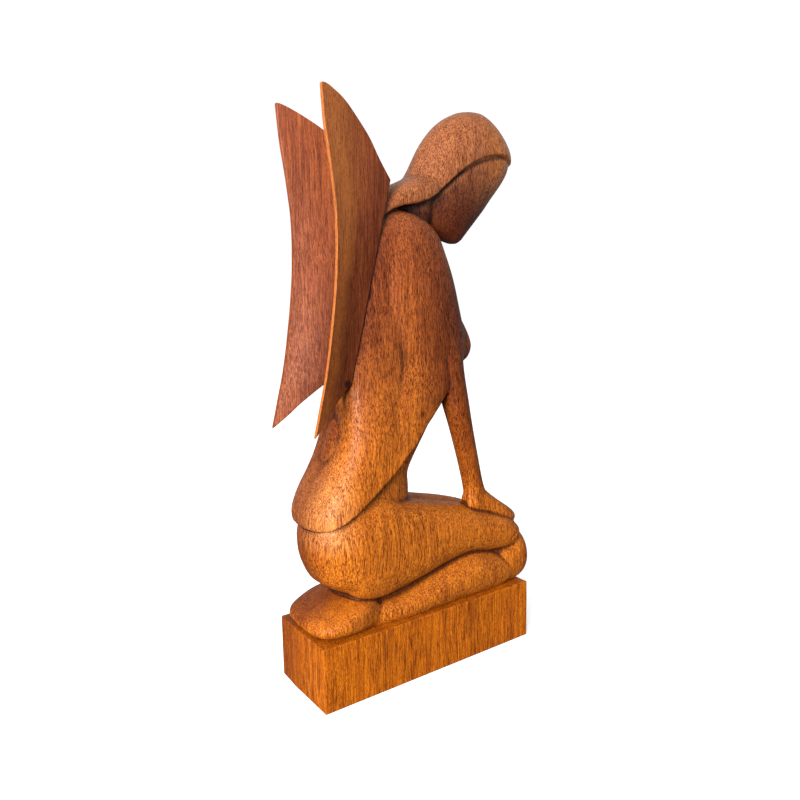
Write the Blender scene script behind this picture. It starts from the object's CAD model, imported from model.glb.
import bmesh
import bpy
import math
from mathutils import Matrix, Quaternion, Vector


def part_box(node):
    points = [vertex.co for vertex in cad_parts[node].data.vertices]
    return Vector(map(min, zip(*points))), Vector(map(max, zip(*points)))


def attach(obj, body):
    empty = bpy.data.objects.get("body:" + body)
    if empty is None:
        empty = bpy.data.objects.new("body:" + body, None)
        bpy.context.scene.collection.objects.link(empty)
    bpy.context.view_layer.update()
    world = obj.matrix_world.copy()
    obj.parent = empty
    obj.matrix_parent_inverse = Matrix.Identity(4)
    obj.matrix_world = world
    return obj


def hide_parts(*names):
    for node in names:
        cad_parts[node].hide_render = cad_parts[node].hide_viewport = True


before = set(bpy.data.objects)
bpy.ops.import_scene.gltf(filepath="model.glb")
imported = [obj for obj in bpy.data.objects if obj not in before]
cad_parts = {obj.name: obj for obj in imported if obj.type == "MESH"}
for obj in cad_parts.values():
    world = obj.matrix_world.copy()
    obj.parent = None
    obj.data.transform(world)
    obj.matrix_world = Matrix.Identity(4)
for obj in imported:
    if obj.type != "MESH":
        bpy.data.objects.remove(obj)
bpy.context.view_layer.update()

# ---- The body and folded legs ----------------------------------------------------------
# One carving in tropical hardwood, grain upright, with nothing joined on but the wings. The
# body leans forward over its lap; thighs lie on shins, soles up. It is roughed out as
# rounded masses that are faired into each other, leaving a groove between thigh and calf.
MM = 0.001


def faired(stations, step):
    """Stations every step or so, on smooth curves through the ones given."""
    rows = []
    count = len(stations)
    for i in range(count - 1):
        a, b = stations[i], stations[i + 1]
        before = stations[i - 1] if i else tuple(2 * p - q for p, q in zip(a, b))
        after = stations[i + 2] if i + 2 < count else tuple(2 * q - p for p, q in zip(a, b))
        cuts = max(1, round(abs(b[0] - a[0]) / step))
        for k in range(cuts):
            t = k / cuts
            rows.append(tuple(
                0.5 * (2 * q + (r - p) * t + (2 * p - 5 * q + 4 * r - s) * t * t
                       + (3 * q - p - 3 * r + s) * t ** 3)
                for p, q, r, s in zip(before, a, b, after)))
    rows.append(tuple(stations[-1]))
    return rows


def mass(stations, upright=True, side=1, step=3.0, sides=40):
    """A rounded closed mass drawn ring by ring, sizes in millimetres.

    An upright mass has level rings: height, back, front, half width, middle x, squareness.
    A lying one has rings across Y: place, low, high, half width, middle x, squareness.
    """
    turn = (0, 0, 0) if upright else (math.pi / 2, 0, 0)
    bpy.ops.object.select_all(action="DESELECT")
    bpy.ops.mesh.primitive_circle_add(vertices=sides, radius=MM, fill_type="NGON", rotation=turn)
    form = bpy.context.active_object
    bpy.ops.object.transform_apply()
    bpy.ops.object.mode_set(mode="EDIT")
    last = (0.0, 1.0, 0.0, 1.0)
    for index, (place, low, high, half, middle, square) in enumerate(faired(stations, step)):
        if index:
            bpy.ops.mesh.extrude_region_move()
        shape = bmesh.from_edit_mesh(form.data)
        now = (side * middle, half, (high + low) / 2, abs(high - low) / 2)
        for v in shape.verts:
            if not v.select:
                continue
            x, t = v.co.x / MM, (v.co.y if upright else v.co.z) / MM
            if index == 0:
                angle = math.atan2(t, x)
            else:
                angle = math.atan2((t - last[2]) / last[3], (x - last[0]) / last[1])
            swell = 1 + square * math.sin(2 * angle) ** 2
            x = now[0] + now[1] * math.cos(angle) * swell
            t = now[2] + now[3] * math.sin(angle) * swell
            v.co = Vector((x, t, place) if upright else (x, place, t)) * MM
        last = now
        bmesh.update_edit_mesh(form.data)
    bpy.ops.mesh.select_all(action="SELECT")
    bpy.ops.mesh.normals_make_consistent(inside=False)
    bpy.ops.object.mode_set(mode="OBJECT")
    return form


def modify(form, kind, **settings):
    """Add a modifier to a form and apply it."""
    bpy.ops.object.select_all(action="DESELECT")
    form.select_set(True)
    bpy.context.view_layer.objects.active = form
    modifier = form.modifiers.new(kind.lower(), kind)
    for name, value in settings.items():
        setattr(modifier, name, value)
    bpy.ops.object.modifier_apply(modifier=modifier.name)
    return form


def blend(name, forms, cell, rubs, rub=0.5):
    """Melt overlapping forms into one skin of even cells and rub it smooth."""
    bpy.ops.object.select_all(action="DESELECT")
    for form in forms:
        form.select_set(True)
    bpy.context.view_layer.objects.active = forms[0]
    if len(forms) > 1:
        bpy.ops.object.join()
    form = forms[0]
    form.name = form.data.name = name
    modify(form, "REMESH", mode="VOXEL", voxel_size=cell * MM)
    if rubs:
        modify(form, "SMOOTH", factor=rub, iterations=rubs)
    return form


# height, back, front, half width, middle x, squareness
waist = mass([
    (80, 60, 14, 19, 0, 0.05),
    (92, 60, 6, 20, 0, 0.05),
    (103, 58, 4.0, 19.0, 0, 0.05),
    (112, 56, 4.0, 18.2, 0, 0.05),
    (122, 53, -2, 17.8, 0, 0.05),
    (135, 49, -11, 17.5, 0, 0.05),
    (150, 43, -20, 17.0, 0, 0.05),
    (163, 39, -27.5, 16.5, 0, 0.05),
    (176, 35, -31.0, 16.0, 0, 0.05),
    (192, 31, -28, 15.5, 0, 0.04),
    (210, 27, -22, 14.5, 0, 0.04),
    (226, 23, -17, 12.5, 0, 0.0),
    (238, 18, -12, 10.0, 0, 0.0),
    (246, 12, -8, 8.0, 0, 0.0),
])
hips = mass([
    (45, 33, 4, 10.0, 0, 0.06),
    (48.5, 39.5, 0, 15.0, 0, 0.06),
    (52, 48.0, 0, 18.8, 0, 0.06),
    (56, 55.2, 0, 21.2, 0, 0.06),
    (60, 60.4, 0, 22.8, 0, 0.06),
    (66, 63.6, 0, 23.8, 0, 0.06),
    (73, 66.0, 0, 24.2, 0, 0.06),
    (80, 66.7, 0, 24.2, 0, 0.06),
    (87, 66.2, 2, 23.8, 0, 0.06),
    (95, 62.0, 6, 22.0, 0, 0.05),
    (103, 56.0, 10, 19.0, 0, 0.04),
])
legs = []
for side in (-1, 1):
    # place, low, high, half width, middle x, squareness
    legs.append(mass([
        (52, 60, 94, 8.0, 10.2, 0.04),
        (44, 50.0, 104, 13.0, 10.2, 0.08),
        (30, 47.5, 104, 14.0, 10.2, 0.12),
        (14, 50.0, 98.5, 14.0, 10.2, 0.10),
        (0, 52.5, 94.5, 13.8, 10.3, 0.08),
        (-14, 56.0, 91.0, 13.5, 10.4, 0.06),
        (-30, 58.0, 87.0, 13.2, 10.6, 0.05),
        (-46, 56.0, 81.8, 12.9, 10.9, 0.06),
        (-56, 56.0, 77.2, 12.5, 11.2, 0.08),
        (-63, 57.0, 73.0, 11.6, 11.4, 0.06),
        (-67.5, 60.0, 69.5, 8.5, 11.5, 0.0),
    ], upright=False, side=side))
    # shin and calf
    legs.append(mass([
        (40, 31, 46.0, 7.0, 11.0, 0.0),
        (32, 31, 47.0, 8.8, 11.2, 0.0),
        (22, 31, 47.4, 10.4, 11.6, 0.0),
        (8, 31, 50.0, 12.0, 11.5, 0.0),
        (-8, 31, 55.0, 13.2, 11.0, 0.0),
        (-22, 31, 59.0, 13.5, 10.8, 0.0),
        (-34, 31, 60.5, 13.4, 10.9, 0.0),
        (-46, 31, 58.0, 12.8, 11.0, 0.0),
        (-56, 32, 53.0, 11.6, 11.0, 0.0),
        (-62, 34, 48.0, 9.5, 11.0, 0.0),
    ], upright=False, side=side))
    # the knee, turned up round the end of the thigh
    legs.append(mass([
        (-50, 38, 58, 9.0, 10.8, 0.0),
        (-58, 33, 64, 11.2, 11.0, 0.0),
        (-66, 33, 67.5, 11.6, 11.2, 0.04),
        (-72.5, 35.5, 62, 10.2, 11.2, 0.02),
        (-76.0, 41, 54, 6.0, 11.2, 0.0),
        (-76.8, 45, 50, 2.5, 11.2, 0.0),
    ], upright=False, side=side))
# both feet, soles up, laid side by side and spreading to the toes; narrow at the ankles
legs.append(mass([
    (26, 32, 45.0, 15.5, 0, 0.10),
    (32, 32, 49.0, 18.5, 0, 0.12),
    (38, 32, 51.0, 20.6, 0, 0.14),
    (46, 32, 51.2, 22.8, 0, 0.12),
    (54, 32.5, 48.9, 23.6, 0, 0.10),
    (61, 33, 46.2, 22.6, 0, 0.06),
    (66, 34, 43.8, 19.8, 0, 0.04),
    (69, 36, 41.0, 15.0, 0, 0.0),
], upright=False))
body = blend("body", [waist, hips] + legs, 0.8, 5)

# ---- The arms --------------------------------------------------------------------------
# The right forearm leaves the cloak's opening and props the body on the knee; its hand lies
# flat down the thigh. The left one drops to rest its hand back on the hip. Part of the
# same block of wood.

# height, back, front, half width, middle x, squareness
right_arm = mass([
    (182, -6, -26, 6.0, 15.0, 0.0),
    (164, -9, -26.5, 7.6, 15.6, 0.0),
    (148, -13.6, -29.2, 7.4, 15.8, 0.0),
    (132, -19.0, -32.6, 6.6, 15.6, 0.0),
    (114, -24.8, -37.2, 6.1, 14.9, 0.0),
    (100, -28.8, -41.0, 5.9, 14.3, 0.0),
    (92, -30.6, -44.2, 6.0, 13.9, 0.0),
    (86, -33.0, -46.5, 5.4, 13.6, 0.0),
], side=-1)
# place, low, high, half width, middle x, squareness
right_hand = mass([
    (-30, 83.5, 93, 4.0, 14.0, 0.0),
    (-35, 81.5, 97, 6.0, 13.9, 0.05),
    (-41, 79.5, 95.5, 6.6, 13.6, 0.08),
    (-47, 77.5, 90.6, 7.2, 13.2, 0.10),
    (-54, 74.0, 85.4, 7.4, 12.9, 0.12),
    (-61, 71.0, 80.6, 6.8, 12.6, 0.12),
    (-65.5, 70.5, 77.0, 5.4, 12.5, 0.08),
    (-68.3, 71.0, 74.0, 2.6, 12.4, 0.0),
], upright=False, side=-1)
left_arm = mass([
    (182, 4, -18, 6.0, 15.0, 0.0),
    (164, 5, -13.5, 7.4, 15.8, 0.0),
    (148, 6, -9.8, 7.2, 16.2, 0.0),
    (132, 7.6, -6.4, 6.6, 16.2, 0.0),
    (114, 10.0, -3.0, 6.1, 15.9, 0.0),
    (100, 11.5, -1.2, 5.7, 15.6, 0.0),
    (94, 11.0, -1.0, 5.0, 15.4, 0.0),
])
left_hand = mass([
    (-3, 92, 96.5, 2.8, 15.0, 0.0),
    (0, 90, 101, 5.0, 15.2, 0.05),
    (6, 91, 106.0, 6.4, 15.4, 0.08),
    (13, 93, 107.0, 7.0, 15.8, 0.10),
    (21, 96, 108.0, 6.8, 16.2, 0.12),
    (28, 98, 108.5, 5.6, 16.5, 0.08),
    (32, 99, 106.0, 2.6, 16.6, 0.0),
], upright=False)
arms = blend("arms", [right_arm, right_hand, left_arm, left_hand], 0.6, 4)

# ---- The cloak -------------------------------------------------------------------------
# A smooth wrap from the shoulders to the hips, carved proud of the body. Both upper arms lie
# under it, and its lower edge sweeps from the cuffs back and down round the seat. Above the
# waist its back is pared flat for the wings.


def slab(outline, half=30.0):
    """A block across the whole figure whose side view is the outline, (y, z) in mm."""
    bpy.ops.object.select_all(action="DESELECT")
    bpy.ops.mesh.primitive_circle_add(vertices=len(outline), radius=MM, fill_type="NGON")
    form = bpy.context.active_object
    for v, (y, z) in zip(form.data.vertices, outline):
        v.co = Vector((-half, y, z)) * MM
    bpy.ops.object.mode_set(mode="EDIT")
    bpy.ops.mesh.extrude_region_move(TRANSFORM_OT_translate={"value": (2 * half * MM, 0, 0)})
    bpy.ops.mesh.select_all(action="SELECT")
    bpy.ops.mesh.normals_make_consistent(inside=False)
    bpy.ops.object.mode_set(mode="OBJECT")
    return form


def cut_away(form, cutter, solver="EXACT"):
    """Take the cutter's shape out of a form."""
    modify(form, "BOOLEAN", operation="DIFFERENCE", object=cutter, solver=solver)
    bpy.data.objects.remove(cutter)


# height, back, front, half width, middle x, squareness
back_of_cloak = mass([
    (80, 63.5, 34, 20.0, 0, 0.06),
    (88, 66.4, 28, 23.2, 0, 0.08),
    (96, 67.4, 22, 24.2, 0, 0.10),
    (106, 63.2, 14, 24.4, 0, 0.12),
    (115, 57.2, 6, 24.2, 0, 0.14),
    (125, 51.2, -1, 23.8, 0, 0.17),
    (136, 46.8, -8, 23.0, 0, 0.20),
    (148, 45.0, -15, 21.6, 0, 0.22),
    (158, 45.6, -20, 20.2, 0, 0.18),
    (168, 47.5, -24, 19.0, 0, 0.14),
    (180, 45.5, -27, 18.0, 0, 0.12),
    (195, 41.5, -26, 17.4, 0, 0.12),
    (210, 38.0, -22, 17.0, 0, 0.12),
    (225, 34.0, -17, 16.4, 0, 0.12),
    (236, 30.0, -11, 15.4, 0, 0.10),
    (244, 25.0, -5, 13.0, 0, 0.06),
    (249, 20.0, 2, 10.0, 0, 0.02),
])
sleeves = []
for side in (-1, 1):
    sleeves.append(mass([
        (128, 28, 8, 5.0, 18.0, 0.0),
        (138, 27, -4, 7.6, 16.2, 0.04),
        (150, 25, -15.0, 8.8, 14.6, 0.06),
        (162, 22, -25.0, 9.2, 13.2, 0.06),
        (173, 20, -31.6, 9.6, 12.0, 0.05),
        (186, 21, -29.8, 9.6, 11.8, 0.04),
        (200, 24, -26.8, 9.4, 11.6, 0.03),
        (214, 24, -23.4, 9.0, 11.2, 0.03),
        (227, 22, -19.0, 8.2, 10.4, 0.03),
        (237, 19.5, -14.8, 7.0, 9.8, 0.02),
        (243.5, 16.5, -7.8, 5.6, 9.2, 0.0),
        (247.3, 11.5, 0.4, 3.4, 8.8, 0.0),
    ], side=side))
# height, back, front, half width, middle x, squareness
bosom = [mass([
    (167.5, -26, -31.6, 4.0, 7.4, 0.0),
    (171, -22, -35.4, 7.6, 7.4, 0.0),
    (177, -20, -37.6, 9.2, 7.4, 0.0),
    (184, -18, -35.6, 8.6, 7.4, 0.0),
    (192, -16, -31.6, 7.0, 7.2, 0.0),
    (202, -14, -26.0, 5.0, 7.0, 0.0),
], side=side) for side in (-1, 1)]
cloak = blend("cloak", [back_of_cloak] + sleeves, 0.8, 12)
cut_away(cloak, slab([
    (-30.5, 173.2), (-26.5, 171.2), (-22.4, 166.0), (-15.7, 156.6), (-7.4, 147.8), (1.4, 138.6),
    (11.4, 127.8), (18.3, 121.0), (25.1, 115.2), (32.8, 109.2), (40.6, 103.4), (48, 98.2),
    (55, 94.0), (61, 91.2), (67, 89.8), (72, 90.0), (80, 92.5), (80, 70), (-60, 70), (-60, 171),
    (-34, 173.6)]))

# ---- The head --------------------------------------------------------------------------
# A bowed head with a plain smooth face and a cap of smooth hair that ends in a raised lip over
# the brow and cheek, then falls back over the shoulders between the wings.

# height, back, front, half width, middle x, squareness
face = mass([
    (233.2, -31.0, -36.0, 2.0, 0, 0.0),
    (235.2, -24.5, -39.0, 4.6, 0, 0.0),
    (239.5, -17.0, -42.8, 7.2, 0, 0.0),
    (246, -12.0, -48.8, 10.0, 0, 0.0),
    (252, -10.0, -54.0, 12.2, 0, 0.02),
    (258, -10.0, -58.6, 14.0, 0, 0.03),
    (264, -10.5, -63.8, 15.2, 0, 0.04),
    (270, -11.5, -68.6, 15.8, 0, 0.04),
    (276, -12.5, -71.6, 15.8, 0, 0.04),
    (282, -15.0, -72.0, 14.6, 0, 0.03),
    (290, -20.0, -67.0, 12.0, 0, 0.0),
    (296, -30.0, -56.0, 8.0, 0, 0.0),
])
neck = mass([
    (228, 16, -8, 7.6, 0, 0.0),
    (240, 13, -14, 7.4, 0, 0.0),
    (250, 9, -21, 7.8, 0, 0.0),
    (260, 2, -28, 9.0, 0, 0.0),
    (268, -6, -34, 9.6, 0, 0.0),
])
head = blend("head", [face, neck], 0.7, 4)
hair_cap = mass([
    (240, -12, -50.0, 10.0, 0, 0.0),
    (248, -6.0, -55.5, 13.6, 0, 0.03),
    (256, -1.0, -60.5, 16.0, 0, 0.05),
    (264, -1.4, -66.0, 17.3, 0, 0.05),
    (272, -6.2, -71.8, 17.9, 0, 0.04),
    (278, -9.4, -73.6, 18.0, 0, 0.02),
    (283, -12.2, -73.8, 17.7, 0, 0.0),
    (289, -16.8, -70.4, 16.6, 0, 0.0),
    (295, -22.6, -65.0, 14.6, 0, 0.0),
    (300, -29.6, -58.8, 11.4, 0, 0.0),
    (303, -36.0, -54.6, 7.4, 0, 0.0),
    (304.3, -42.0, -49.0, 3.0, 0, 0.0),
])
# place, low, high, half width, middle x, squareness
hair_fall = mass([
    (-22, 246, 276, 14.0, 0, 0.0),
    (-12, 246, 271.4, 15.2, 0, 0.02),
    (-4, 246, 267.4, 15.4, 0, 0.04),
    (4, 244, 263.8, 15.0, 0, 0.06),
    (11, 240, 261.2, 14.4, 0, 0.06),
    (17, 234, 258.6, 13.6, 0, 0.06),
    (22, 226, 255.0, 12.4, 0, 0.04),
    (26, 218, 247.0, 11.4, 0, 0.0),
    (29, 214, 238.0, 9.0, 0, 0.0),
], upright=False)
hair = blend("hair", [hair_cap, hair_fall], 0.7, 10)
HAIR_LIP = [
    (-76.4, 275.2), (-71.4, 277.4), (-63.2, 279.8), (-57, 280.6), (-51.4, 279.9), (-46, 279.0),
    (-41, 277.4), (-36.4, 275.4), (-31.9, 272.9), (-28, 270.4), (-24, 267.4), (-20.5, 264.4),
    (-17.3, 261.6), (-12.6, 257.6), (-6.9, 254.2), (-0.2, 252.0), (8.4, 250.6), (15, 248.4),
    (19.7, 245.3), (24.5, 239.9), (27.1, 234.5)]
cut_away(hair, slab([(-82, 271.8)] + HAIR_LIP + [(29, 225), (29, 205), (-82, 205)]))

# ---- The whole carving -----------------------------------------------------------------
# The rough masses become one skin, sanded lightly. It is cut flat where it sits on the
# plinth and where the wings are glued on; a small gouge mark ends each wing's lower seam.
# Its wood is a red-brown open-pored hardwood, oiled and waxed to a satin: fine dark pore lines
# upright, short ticks where the surface crosses the grain, amber low down, redder above.
figure = blend("kneeling_angel", [body, arms, cloak, head, hair] + bosom, 0.6, 3)
SEAT_FOOT, SEAT_LEAN = (44.0, 162.0), 0.26
SEAT_BOTTOM, SEAT_TOP = 157, 275


def seat_y(z):
    """How far back the flat for the wings lies at a height, in mm."""
    return SEAT_FOOT[0] - SEAT_LEAN * (z - SEAT_FOOT[1])


cut_away(figure, slab([(seat_y(SEAT_BOTTOM), SEAT_BOTTOM), (seat_y(SEAT_TOP), SEAT_TOP),
                       (80, SEAT_TOP), (80, SEAT_BOTTOM)]))


def gouge(form, line, width):
    """Run a round gouge along a line of (x, y, z) points, in mm."""
    bpy.ops.object.select_all(action="DESELECT")
    bpy.ops.curve.primitive_nurbs_path_add()
    tool = bpy.context.active_object
    tool.data.splines.clear()
    path = tool.data.splines.new("POLY")
    path.points.add(len(line) - 1)
    for point, spot in zip(path.points, line):
        point.co = (Vector(spot) * MM).to_4d()
    tool.data.bevel_depth = width / 2 * MM
    tool.data.bevel_resolution = 3
    tool.data.use_fill_caps = True
    bpy.ops.object.convert(target="MESH")
    cut_away(form, bpy.context.active_object, "FAST")


for side in (-1, 1):
    # down each wing's root, with a deeper mark at its foot
    gouge(figure, [(side * (15.9 + 0.012 * (z - 200)), seat_y(z) + 0.2, z)
                   for z in range(160, 249, 8)], 2.6)
    gouge(figure, [(side * 15.7, 42.6, 163.0), (side * 15.9, 47.0, 162.8)], 3.6)
    # a vee under the hair's lip, run along the cheek
    gouge(figure, [(side * 15.6 * math.sqrt(1 - ((y + 40.5) / 29.0) ** 2), y, z - 0.6)
                   for y, z in HAIR_LIP[2:13]], 2.4)
    # where the thigh stops against the knee, and the calf below it
    gouge(figure, [(side * 14.5, -71.6, 70.8), (side * 18.4, -69.0, 69.4),
                   (side * 22.0, -63.8, 67.2), (side * 23.4, -58.8, 63.4),
                   (side * 24.0, -54.4, 59.6), (side * 24.2, -49.0, 60.0)], 1.5)
    gouge(figure, [(side * 24.2, -52.0, 57.6), (side * 24.0, -55.6, 53.0),
                   (side * 23.6, -57.8, 47.0), (side * 23.4, -58.6, 41.0),
                   (side * 23.0, -58.0, 36.0)], 1.3)
modify(figure, "REMESH", mode="VOXEL", voxel_size=0.6 * MM)
modify(figure, "SMOOTH", factor=0.5, iterations=2)
# the underside, flat on the plinth
seat_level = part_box("plinth")[1].z
bpy.ops.object.select_all(action="DESELECT")
figure.select_set(True)
bpy.context.view_layer.objects.active = figure
bpy.ops.object.mode_set(mode="EDIT")
bpy.ops.mesh.select_all(action="SELECT")
bpy.ops.mesh.bisect(plane_co=(0, 0, seat_level), plane_no=(0, 0, 1), use_fill=True,
                    clear_inner=True)
bpy.ops.object.mode_set(mode="OBJECT")
modify(figure, "DECIMATE", ratio=0.35)


def mark_hollows(form, reach, depth):
    """Give each point a number, hollow: 1 deep in a groove, 0.5 on open wood, 0 on a crest."""
    bpy.ops.object.select_all(action="DESELECT")
    form.select_set(True)
    bpy.context.view_layer.objects.active = form
    bpy.ops.object.duplicate()
    rubbed = modify(bpy.context.active_object, "SMOOTH", factor=1.0, iterations=reach)
    marks = form.data.attributes.new("hollow", "FLOAT", "POINT")
    for v, far, mark in zip(form.data.vertices, rubbed.data.vertices, marks.data):
        below = (far.co - v.co).dot(v.normal) / (depth * MM)
        mark.value = 0.5 + 0.5 * max(-1.0, min(1.0, below))
    bpy.data.objects.remove(rubbed)
    form.select_set(True)
    bpy.context.view_layer.objects.active = form


mark_hollows(figure, 60, 1.1)
bpy.ops.object.shade_smooth()
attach(figure, "root")
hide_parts("kneeling_figure")


class Field:
    """A number, colour or direction that changes over the wood: one output of a shader node."""

    def __init__(self, tree, socket=None):
        self.tree, self.socket = tree, socket

    def node(self, kind, settings=(), values=(), out=0):
        """Add a node, set it, give its inputs numbers or other fields, and return an output."""
        made = self.tree.nodes.new(kind)
        for name, setting in dict(settings).items():
            setattr(made, name, setting)
        for name, value in dict(values).items():
            if isinstance(value, Field):
                self.tree.links.new(value.socket, made.inputs[name])
            else:
                made.inputs[name].default_value = value
        return Field(self.tree, made.outputs[out])

    def feed(self, socket):
        self.tree.links.new(self.socket, socket)

    def maths(self, operation, first, second):
        return self.node("ShaderNodeMath", {"operation": operation}, {0: first, 1: second})

    def __add__(self, other):
        return self.maths("ADD", self, other)

    def __radd__(self, other):
        return self.maths("ADD", other, self)

    def __sub__(self, other):
        return self.maths("SUBTRACT", self, other)

    def __rsub__(self, other):
        return self.maths("SUBTRACT", other, self)

    def __mul__(self, other):
        return self.maths("MULTIPLY", self, other)

    def __rmul__(self, other):
        return self.maths("MULTIPLY", other, self)

    def most(self, other):
        return self.maths("MAXIMUM", self, other)

    def least(self, other):
        return self.maths("MINIMUM", self, other)

    def vector(self, operation, other):
        return self.node("ShaderNodeVectorMath", {"operation": operation}, {0: self, 1: other})

    def axes(self):
        """The three parts of a direction or place."""
        return [self.node("ShaderNodeSeparateXYZ", {}, {0: self}, out=k) for k in range(3)]

    def rising(self, low, high):
        """0 where this is low, 1 where it is high, straight between."""
        return self.node("ShaderNodeMapRange", {"clamp": True},
                         {0: self, 1: low, 2: high, 3: 0.0, 4: 1.0})

    def tinted(self, ground, tint, how="MULTIPLY"):
        """The ground where this is 0, the ground times the tint where it is 1."""
        return self.node("ShaderNodeMix", {"data_type": "RGBA", "blend_type": how},
                         {0: self, 6: ground, 7: tuple(tint) + (1,)}, out=2)

    def painted(self, ground, colour):
        """The ground where this is 0, the colour where it is 1."""
        return self.tinted(ground, colour, "MIX")

    def noise(self, stretch, detail=2.0, shift=0.0):
        """Even random mottling, 0 to 1, over this place in mm; its size is 1 over stretch."""
        spot = self.vector("MULTIPLY", stretch)
        spot = spot.vector("ADD", (shift, 2.3 * shift, 0.7 * shift))
        return self.node("ShaderNodeTexNoise", {},
                         {"Vector": spot, "Scale": 1.0, "Detail": detail, "Roughness": 0.55})


def wood(name, amber, red, redness=160.0, base=None, stains=None, wax=None, shift=0.0,
         wander=5.0, polish=0.7, vessel=5.5, depth=0.92):
    """Hardwood with upright grain, amber below the height redness and red above it, in mm.

    Base, stains and wax change the ground colour before its streaks, before its pores and
    last. Vessel is the length of a pore line in mm, depth how dark it is.
    """
    material = bpy.data.materials.new(name)
    material.use_nodes = True
    tree = material.node_tree
    shader = tree.nodes["Principled BSDF"]
    place = Field(tree).node("ShaderNodeTexCoord", out=3).vector(
        "MULTIPLY", (1000.0, 1000.0, 1000.0))
    # the grain wanders a little from upright
    drift = place.node("ShaderNodeTexNoise", {},
                       {"Vector": place, "Scale": 0.028, "Detail": 1.0}, out=1)
    drift = drift.vector("SUBTRACT", (0.5, 0.5, 0.5)).vector("MULTIPLY", (wander, wander, 0.0))
    grain = place.vector("ADD", drift)
    z = place.axes()[2]

    # colour of the ground: amber to red with height, in soft upright bands and fine streaks
    clouds = grain.noise((0.035, 0.035, 0.012), 2.0, shift)
    height = z + (clouds - 0.5) * 90.0
    ground = height.rising(redness - 45.0, redness + 45.0).painted(tuple(amber) + (1,), red)
    if base:
        ground = base(ground, place, clouds)
    bands = grain.noise((0.22, 0.22, 0.008), 3.0, shift + 4.0)
    ground = (bands.rising(0.35, 0.68) * 0.6).tinted(ground, (0.55, 0.44, 0.36))
    streaks = grain.noise((1.4, 1.4, 0.035), 2.0, shift + 9.0)
    ground = (streaks.rising(0.40, 0.60) * 0.8).tinted(ground, (0.55, 0.42, 0.34))
    if stains:
        ground = stains(ground, place, clouds)

    # pores: long thin dark lines, closer together in some places than others
    crowd = grain.noise((0.06, 0.06, 0.02), 1.0, shift + 2.0)
    pores = grain.noise((2.3, 2.3, 1.0 / vessel), 2.0, shift + 6.0)
    pores = (pores + (crowd - 0.5) * 0.16).rising(0.53, 0.62)
    fine = grain.noise((3.4, 3.4, 0.6), 0.0, shift + 7.0).rising(0.50, 0.70)
    dark = pores.most(fine * 0.7)
    ground = (dark * depth).tinted(ground, (0.26, 0.16, 0.10))
    # the wood between the pores glints a little paler
    ground = ((1 - fine) * (1 - pores) * depth * 0.6).tinted(ground, (1.3, 1.35, 1.4))
    if wax:
        ground = wax(ground)
    ground.feed(shader.inputs["Base Color"])
    (0.46 + (bands - 0.5) * 0.12 + dark * 0.2).feed(shader.inputs["Roughness"])
    shader.inputs["Specular IOR Level"].default_value = 0.10
    # the hair is polished more than the rest
    ((0.2 + z.rising(222.0, 258.0) * 0.8) * (1 - dark * 0.7) * polish).feed(
        shader.inputs["Coat Weight"])
    shader.inputs["Coat Roughness"].default_value = 0.45
    shader.inputs["Coat IOR"].default_value = 1.4
    tooled = grain.noise((0.09, 0.09, 0.05), 2.0, shift + 3.0)
    relief = tooled * 0.5 - pores * 0.07 - fine * 0.03 + streaks * 0.03
    relief.node("ShaderNodeBump", {}, {"Strength": 0.55, "Distance": MM, "Height": relief}).feed(
        shader.inputs["Normal"])
    return material


def rub_on(material, piece):
    """Give a piece one finish all over."""
    piece.data.materials.clear()
    piece.data.materials.append(material)


AMBER, RED = (0.49, 0.142, 0.010), (0.27, 0.067, 0.014)
HAIR, WORN = (0.31, 0.102, 0.031), (0.55, 0.215, 0.060)


def pale_places(ground, place, clouds):
    """Paler hair, and a low part of the back rubbed paler by handling."""
    y, z = place.axes()[1:]
    ground = z.rising(238.0, 256.0).painted(ground, HAIR)
    worn = y.rising(44.0, 58.0) * z.rising(76.0, 84.0) * (1 - z.rising(108.0, 134.0))
    return (worn * 0.8).painted(ground, WORN)


def behind_seat(place):
    """How far behind the flats for the wings a place is, in mm."""
    y, z = place.axes()[1:]
    return y + (z - SEAT_FOOT[1]) * SEAT_LEAN - SEAT_FOOT[0]


def figure_stains(ground, place, clouds):
    """An amber brow, darker heartwood in the neck, jaw, arms and chest, and dark marks."""
    x, y, z = place.axes()
    front, height = 0 - y, z + (clouds - 0.5) * 10.0
    brow = (height + front).rising(306.0, 332.0) * front.rising(40.0, 54.0)
    ground = (brow * 0.6).painted(ground, AMBER)
    lip = (279.0 - (60 - front) * (60 - front) * 0.012).most(250.5)
    shoulder = (254.0 - front * 1.4).least(246.0)
    jaw = (lip - z).rising(-0.5, 2.5) * (z - shoulder).rising(-1.0, 2.0)
    jaw = jaw * front.rising(-20.0, -12.0) * (1 - (height + front).rising(286.0, 318.0))
    heart = (front + (clouds - 0.5) * 10.0).rising(-6.0, 10.0) * z.rising(88.0, 106.0)
    heart = heart * (1 - z.rising(205.0, 238.0)) * (1 - x.rising(-13.0, -5.0) * 0.7)
    ground = (heart * 0.8).most(jaw).tinted(ground, (0.42, 0.32, 0.30))
    # the soles, the inside of the wing seams, and a short streak of torn grain
    sole = x.rising(-14.0, 0.0) * z.rising(36.0, 41.0) * y.rising(26.0, 38.0)
    seam = behind_seat(place).rising(-16.0, 0.0) * z.rising(150.0, 178.0)
    seam = seam * (1 - z.rising(238.0, 246.0))
    back, up = y - 23.5, z - 167.0
    along, across = back * 0.17 - up * 0.14, back * 0.6 + up * 0.75
    torn = (1 - (along * along + across * across * 0.7).rising(0.3, 1.3)) * (
        1 - x.rising(-12.0, -8.0))
    return sole.most(seam * 0.8).most(torn * 0.7).tinted(ground, (0.48, 0.38, 0.34))


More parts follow.
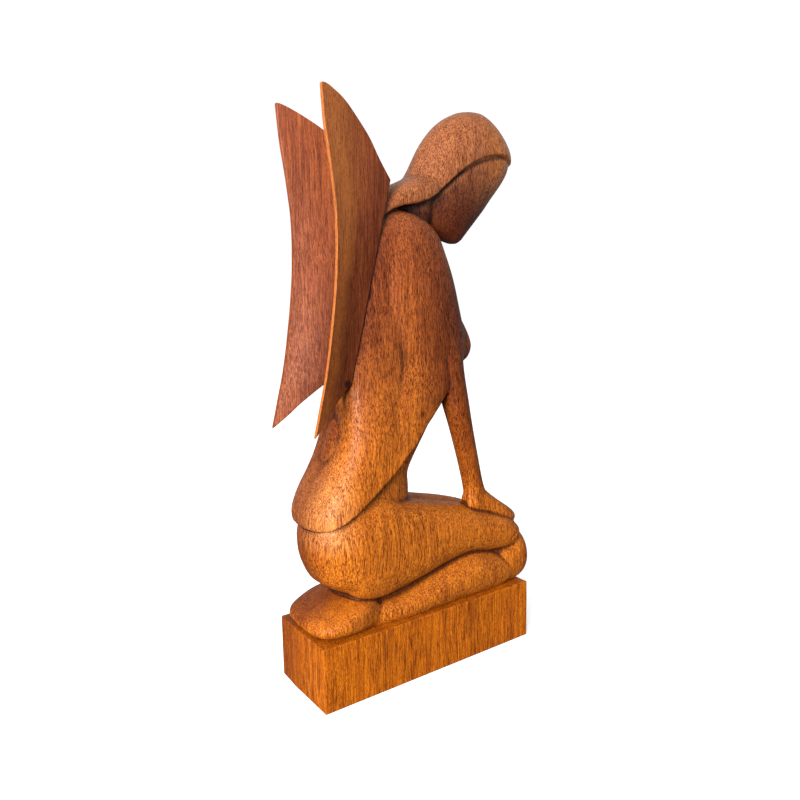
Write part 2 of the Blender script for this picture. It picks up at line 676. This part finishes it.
def figure_wax(ground):
    """Dirt and old wax gathered in the grooves, crests rubbed paler."""
    hollow = ground.node("ShaderNodeAttribute", {"attribute_name": "hollow"}, out=2)
    ground = (hollow.rising(0.535, 0.74) * 0.94).tinted(ground, (0.14, 0.09, 0.08))
    return ((1 - hollow).rising(0.55, 0.9) * 0.3).tinted(ground, (1.25, 1.22, 1.2))


rub_on(wood("waxed_figure_wood", AMBER, RED, base=pale_places, stains=figure_stains,
            wax=figure_wax), figure)

# ---- The wings -------------------------------------------------------------------------
# Two thin boards of the same wood, curled outwards to a sharp tip above and below, with the
# root edge glued to a flat on the back. Thick at the root, a fine soft edge behind; a paler
# band of sapwood along the right one's trailing edge.


def along_line(points, share):
    """The point at that share of the way along a smooth line through the points."""
    rows = faired([(n,) + tuple(p) for n, p in enumerate(points)], 0.05)
    place = share * (len(rows) - 1)
    low = min(int(place), len(rows) - 2)
    part = place - low
    return [a + (b - a) * part for a, b in zip(rows[low][1:], rows[low + 1][1:])]


ROOT = [(seat_y(z) - 0.5, z) for z in (162.0, 184.0, 210.0, 236.0, 262.0)]
TRAILING = [(69.4, 139.4), (65.9, 153.3), (61.9, 169.4), (58.6, 187.8), (55.7, 208.5),
            (54.3, 226.7), (54.2, 244.7), (55.4, 257.9), (57.0, 270.8), (58.8, 283.4),
            (60.0, 299.6)]
# each wing was shaped by eye, so the two top edges are not quite alike
TOPS = {-1: [(59.6, 299.8), (57.2, 300.2), (53.0, 299.2), (45.0, 295.4), (37.2, 288.6),
             (29.9, 280.8), (24.5, 272.3)],
        1: [(60.2, 301.0), (57.6, 300.4), (52.4, 297.8), (45.4, 293.6), (38.6, 289.0),
            (31.0, 282.2), (24.5, 273.2)]}
BOTTOM = [ROOT[0], (49.2, 157.6), (57.2, 150.4), (62.4, 145.0)]
TIPS = {-1: (69.4, 139.4), 1: (69.9, 138.0)}
ROOT_SPREAD, CURL_OUT = 11.5, 11.2
ROOT_THICKNESS, EDGE_THICKNESS = 7.3, 2.3


def curl(y, z):
    """Share of the way from root to trailing edge at a point of the side view."""
    for (y0, z0), (y1, z1) in zip(TRAILING, TRAILING[1:]):
        if z <= z1:
            break
    front = seat_y(min(max(z, 162.0), 262.0))
    back = y0 + (y1 - y0) * (z - z0) / (z1 - z0)
    return min(1.0, max(0.0, (y - front) / (back - front)))


def wing(name, side, node):
    """One wing board: a level grid of two skins, bent to the outline and curl."""
    trailing = [TIPS[side]] + TRAILING[1:-1] + [TOPS[side][0]]
    bottom = BOTTOM + [TIPS[side]]
    top = [ROOT[-1]] + TOPS[side][::-1]
    corners = (ROOT[0], trailing[0]), (ROOT[-1], trailing[-1])
    bpy.ops.object.select_all(action="DESELECT")
    bpy.ops.mesh.primitive_grid_add(x_subdivisions=26, y_subdivisions=84, size=2)
    board = bpy.context.active_object
    board.name = board.data.name = name
    bpy.ops.object.mode_set(mode="EDIT")
    bpy.ops.mesh.extrude_region_move(TRANSFORM_OT_translate={"value": (0, 0, 1)})
    shape = bmesh.from_edit_mesh(board.data)
    across = {}
    for v in shape.verts:
        s, t, face = (v.co.x + 1) / 2, (v.co.y + 1) / 2, 1 if v.co.z > 0.5 else -1
        for key, line, share in (("root", ROOT, t), ("trail", trailing, t),
                                 ("low", bottom, s), ("high", top, s)):
            if (key, share) not in across:
                across[key, share] = along_line(line, share)
        root, trail = across["root", t], across["trail", t]
        low, high = across["low", s], across["high", s]
        y, z = [(1 - s) * root[k] + s * trail[k] + (1 - t) * low[k] + t * high[k]
                - (1 - t) * ((1 - s) * corners[0][0][k] + s * corners[0][1][k])
                - t * ((1 - s) * corners[1][0][k] + s * corners[1][1][k]) for k in (0, 1)]
        share = curl(y, z)
        spread = ROOT_SPREAD + CURL_OUT * share ** 1.5
        taper = (ROOT_THICKNESS - EDGE_THICKNESS) * (1 - share) ** 1.3
        thick = taper + EDGE_THICKNESS
        v.co = Vector((side * (spread + face * thick / 2), y, z)) * MM
    bmesh.update_edit_mesh(board.data)
    bpy.ops.mesh.select_all(action="SELECT")
    bpy.ops.mesh.normals_make_consistent(inside=False)
    bpy.ops.object.mode_set(mode="OBJECT")
    modify(board, "BEVEL", width=0.5 * MM, segments=2, limit_method="ANGLE",
           angle_limit=math.radians(40))
    modify(board, "SUBSURF", levels=1, render_levels=1)
    gouge(board, [(side * 15.9, 43.0, 163.0), (side * 15.9, 47.6, 162.6)], 3.6)
    # on so thin a curled board the recalculated faces all point inwards, so they are turned
    bpy.ops.object.mode_set(mode="EDIT")
    bpy.ops.mesh.select_all(action="SELECT")
    bpy.ops.mesh.flip_normals()
    bpy.ops.object.mode_set(mode="OBJECT")
    bpy.ops.object.shade_smooth()
    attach(board, "root")
    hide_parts(node)
    return board


def wing_stains(ground, place, clouds):
    """Pale sapwood behind on the right wing, a dark root, a dark gouge mark at its foot."""
    x = place.axes()[0]
    sap = (x * -1.0 + (clouds - 0.5) * 6.0).rising(16.8, 20.5)
    ground = (sap * 0.85).painted(ground, (0.41, 0.120, 0.022))
    root = 1 - behind_seat(place).rising(2.0, 15.0)
    ground = (root * 0.75).tinted(ground, (0.42, 0.34, 0.30))
    pit = place.node("ShaderNodeVectorMath", {"operation": "DISTANCE"},
                     {0: place, 1: (-15.9, 46.0, 162.8)}, out=1)
    return ((1 - pit.rising(1.6, 2.6)) * 0.9).tinted(ground, (0.16, 0.10, 0.08))


wing_wood = wood("waxed_wing_wood", (0.24, 0.060, 0.014), (0.26, 0.062, 0.016), 175.0,
                 stains=wing_stains, shift=31.0, wander=3.0, polish=0.3, vessel=8.0,
                 depth=0.55)
rub_on(wing_wood, wing("right_wing_board", -1, "right_wing"))
rub_on(wing_wood, wing("left_wing_board", 1, "left_wing"))

# ---- The plinth ------------------------------------------------------------------------
# A rectangular block of the same wood with its arrises rubbed round by hand, so that no face is
# quite flat. The figure's folded legs are glued and dowelled to its top.
low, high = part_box("plinth")
bpy.ops.object.select_all(action="DESELECT")
bpy.ops.mesh.primitive_cube_add(size=1, location=(low + high) / 2, scale=high - low)
block = bpy.context.active_object
block.name = block.data.name = "plinth_block"
bpy.ops.object.transform_apply()
bpy.ops.object.mode_set(mode="EDIT")
bpy.ops.mesh.subdivide(number_cuts=31)
bpy.ops.object.mode_set(mode="OBJECT")
for v in block.data.vertices:
    x, y, z = v.co / MM
    wave = math.sin(y * 0.11 + 1.0) * 0.16 + math.sin(y * 0.047 + z * 0.13) * 0.14
    if abs(x) > 24.4:
        x -= math.copysign(max(0.0, 0.1 + wave) * min(1.0, z / 12.0), x)
    if y > 69.9:
        y -= max(0.0, x - 8.0) * 0.05 + max(0.0, 8.0 - x) * 0.006
    if y < -69.9:
        y += 0.3 + abs(x) * 0.02
    v.co = Vector((x, y, z)) * MM
modify(block, "BEVEL", width=0.45 * MM, segments=3, limit_method="ANGLE",
       angle_limit=math.radians(50))
bpy.ops.object.shade_smooth()
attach(block, "root")
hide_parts("plinth")


def heartwood_corner(ground, place, clouds):
    """The left half of the block was cut from darker heartwood."""
    return (place.axes()[0].rising(-10.0, 14.0) * 0.9).tinted(ground, (0.48, 0.38, 0.32))


PLINTH_AMBER = (0.47, 0.125, 0.004)
rub_on(wood("waxed_plinth_wood", PLINTH_AMBER, PLINTH_AMBER, stains=heartwood_corner,
            shift=13.0, wander=1.5, polish=0.5, vessel=11.0, depth=0.85), block)

# ---- The dowels ------------------------------------------------------------------------
# Thin rods of a plain pale wood, unfinished, that pin the wings and the plinth to the figure.
# They are glued into blind holes and can't be seen.
PALE = (0.50, 0.34, 0.17)
dowel_wood = wood("pale_dowel_wood", PALE, PALE, 100.0, shift=47.0, polish=0.0)
for name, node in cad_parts.items():
    if name.endswith("dowel"):
        rub_on(dowel_wood, node)


# ---- Floor and light -------------------------------------------------------------------
# White paper with one large soft lamp behind the carving's right shoulder. The room glows
# softly all round, less from below, and shows plain white behind the carving.
bpy.ops.object.select_all(action="DESELECT")
bpy.ops.mesh.primitive_plane_add(size=12, location=(0, 0, 0))
floor = bpy.context.active_object
floor.name = "floor"
paint = bpy.data.materials.new("white_paper")
paint.use_nodes = True
paper = paint.node_tree.nodes["Principled BSDF"].inputs
paper["Base Color"].default_value = (0.93, 0.93, 0.93, 1)
paper["Roughness"].default_value = 0.9
paper["Specular IOR Level"].default_value = 0.1
# a little light of its own keeps the shadow on the paper pale
paper["Emission Color"].default_value = (1, 1, 1, 1)
paper["Emission Strength"].default_value = 0.38
rub_on(paint, floor)
floor.visible_diffuse = False
floor.visible_glossy = False

world = bpy.data.worlds.new("soft_room")
world.use_nodes = True
room = Field(world.node_tree)
unseen = world.node_tree.nodes["Background"]
unseen.inputs["Color"].default_value = (1, 1, 1, 1)
upward = room.node("ShaderNodeTexCoord").axes()[2]
(0.2 + upward.rising(-0.35, 0.15) * 0.55).feed(unseen.inputs["Strength"])
seen = room.node("ShaderNodeBackground", {}, {"Color": (1, 1, 1, 1), "Strength": 1.05})
both = room.node("ShaderNodeMixShader", {}, {0: room.node("ShaderNodeLightPath"),
                                             1: Field(world.node_tree, unseen.outputs[0]),
                                             2: seen})
both.feed(world.node_tree.nodes["World Output"].inputs["Surface"])
bpy.context.scene.world = world
bpy.context.scene.view_settings.view_transform = "Standard"

CENTRE = Vector((0, 0.0042, 0.14896))
LAMP = Vector((-0.76, 1.32, 0.52))
bpy.ops.object.light_add(type="AREA", location=LAMP)
key = bpy.context.active_object
key.name = "key_softbox"
key.data.size = 0.7
key.data.energy = 62
key.rotation_euler = (CENTRE - LAMP).to_track_quat("-Z", "Y").to_euler()

# ---- Camera ----------------------------------------------------------------------------
# Close, at half height, behind the carving's right shoulder.
azimuth, elevation, roll = map(math.radians, (-124.94, 8.53, -1.14))
away = Vector((math.sin(azimuth) * math.cos(elevation), -math.cos(azimuth) * math.cos(elevation),
               math.sin(elevation)))
bpy.ops.object.camera_add(location=CENTRE + away * 0.38234)
camera = bpy.context.active_object
camera.rotation_mode = "QUATERNION"
camera.rotation_quaternion = away.to_track_quat("Z", "Y") @ Quaternion((0, 0, 1), roll)
camera.data.sensor_width = 36.0
camera.data.lens = 31.51
camera.data.clip_start = 0.01
bpy.context.scene.camera = camera
